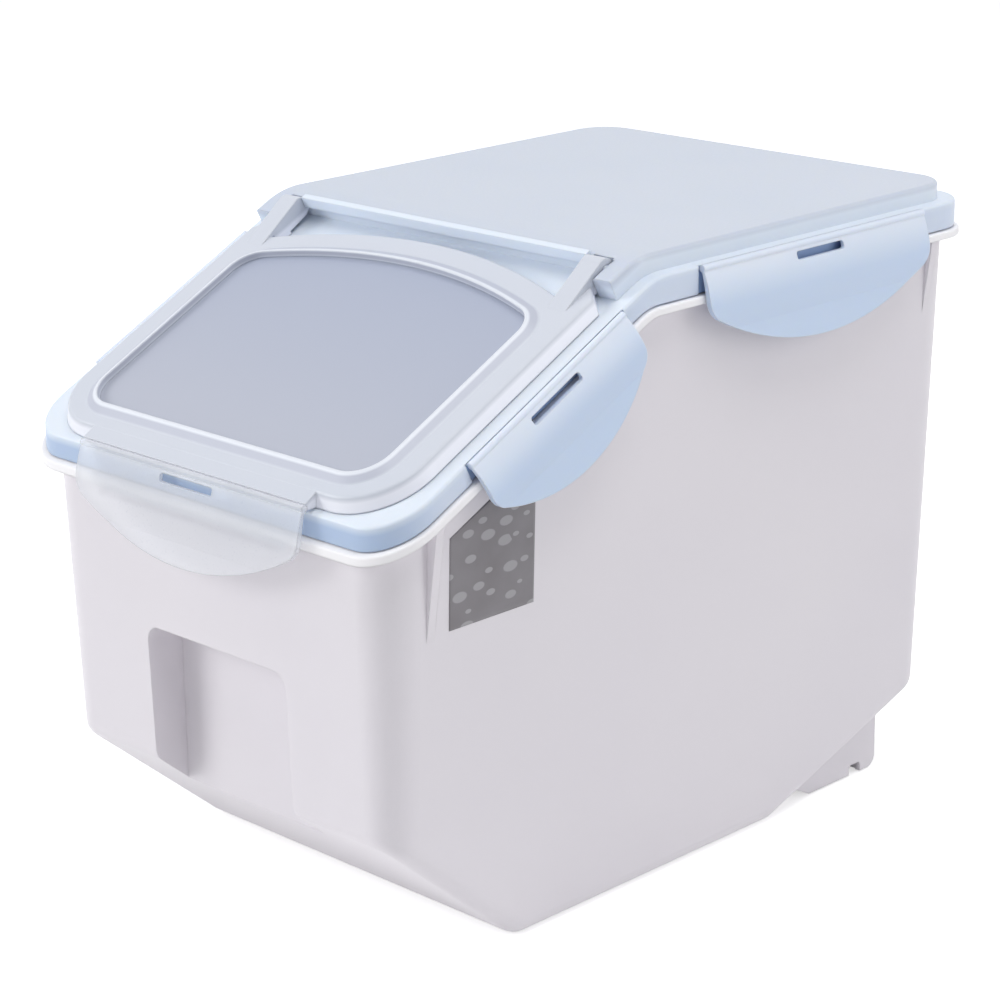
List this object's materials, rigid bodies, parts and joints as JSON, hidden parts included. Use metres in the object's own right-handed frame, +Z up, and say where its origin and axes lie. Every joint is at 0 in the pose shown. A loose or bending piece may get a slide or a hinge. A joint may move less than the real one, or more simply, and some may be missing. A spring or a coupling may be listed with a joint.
{
  "type": "rice bin with flip lid",
  "caption": "Tall frosted grain bin with a bent lid, a windowed flip lid on the sloping front, side latches and rear wheels.",
  "frame": {"origin": "centre of the whole bin's plan, on the floor under the flat base", "axes": "+Z up, -Y is the front with the flip lid and the hand grip, +X is the right-hand side seen from the front"},
  "size_m": [0.226, 0.3484, 0.2602],
  "materials": {
    "body_white": "frosted",
    "lid_blue": "frosted",
    "latch_blue": "translucent satin",
    "frosted_clear": "frosted, translucent",
    "seal_clear": "soft satin",
    "wheel_grey": "matte",
    "axle_steel": "brushed"
  },
  "bodies": {
    "bin": {"bin_body": "body_white", "axle_right": "axle_steel", "axle_left": "axle_steel"},
    "main_lid": {"main_lid": "lid_blue", "main_lid_gasket": "seal_clear"},
    "flip_lid": {"flip_lid": "frosted_clear", "flip_lid_gasket": "seal_clear"},
    "front_latch": {"front_latch": "frosted_clear"},
    "rear_latch_right": {"rear_latch_right": "latch_blue"},
    "rear_latch_left": {"rear_latch_left": "latch_blue"},
    "slope_latch_right": {"slope_latch_right": "latch_blue"},
    "slope_latch_left": {"slope_latch_left": "latch_blue"},
    "wheel_right": {"wheel_right": "wheel_grey"},
    "wheel_left": {"wheel_left": "wheel_grey"}
  },
  "joints": [
    {"name": "main_lid_lift", "type": "slide", "parent": "bin", "child": "main_lid", "axis": [0, 0, 1], "range_m": [0, 0.2]},
    {"name": "flip_lid_hinge", "type": "hinge", "parent": "main_lid", "child": "flip_lid", "pos_m": [0, -0.03766, 0.25459], "axis": [-1, 0, 0], "range_deg": [0, 120]},
    {"name": "front_latch_hinge", "type": "hinge", "parent": "flip_lid", "child": "front_latch", "pos_m": [0, -0.1674, 0.186], "axis": [-1, 0, 0], "range_deg": [0, 110]},
    {"name": "rear_latch_right_hinge", "type": "hinge", "parent": "main_lid", "child": "rear_latch_right", "pos_m": [0.10618, 0.0668, 0.2512], "axis": [0, -1, 0], "range_deg": [0, 120]},
    {"name": "slope_latch_right_hinge", "type": "hinge", "parent": "main_lid", "child": "slope_latch_right", "pos_m": [0.10618, -0.08588, 0.22138], "axis": [0, -0.8934, -0.4493], "range_deg": [0, 120]},
    {"name": "wheel_right_turn", "type": "hinge", "parent": "bin", "child": "wheel_right", "pos_m": [0.0774, 0.1198, 0.009], "axis": [1, 0, 0], "continuous": true},
    {"name": "rear_latch_left_hinge", "type": "hinge", "parent": "main_lid", "child": "rear_latch_left", "pos_m": [-0.10618, 0.0668, 0.2512], "axis": [0, 1, 0], "range_deg": [0, 120]},
    {"name": "slope_latch_left_hinge", "type": "hinge", "parent": "main_lid", "child": "slope_latch_left", "pos_m": [-0.10618, -0.08588, 0.22138], "axis": [0, 0.8934, 0.4493], "range_deg": [0, 120]},
    {"name": "wheel_left_turn", "type": "hinge", "parent": "bin", "child": "wheel_left", "pos_m": [-0.0774, 0.1198, 0.009], "axis": [1, 0, 0], "continuous": true}
  ]
}
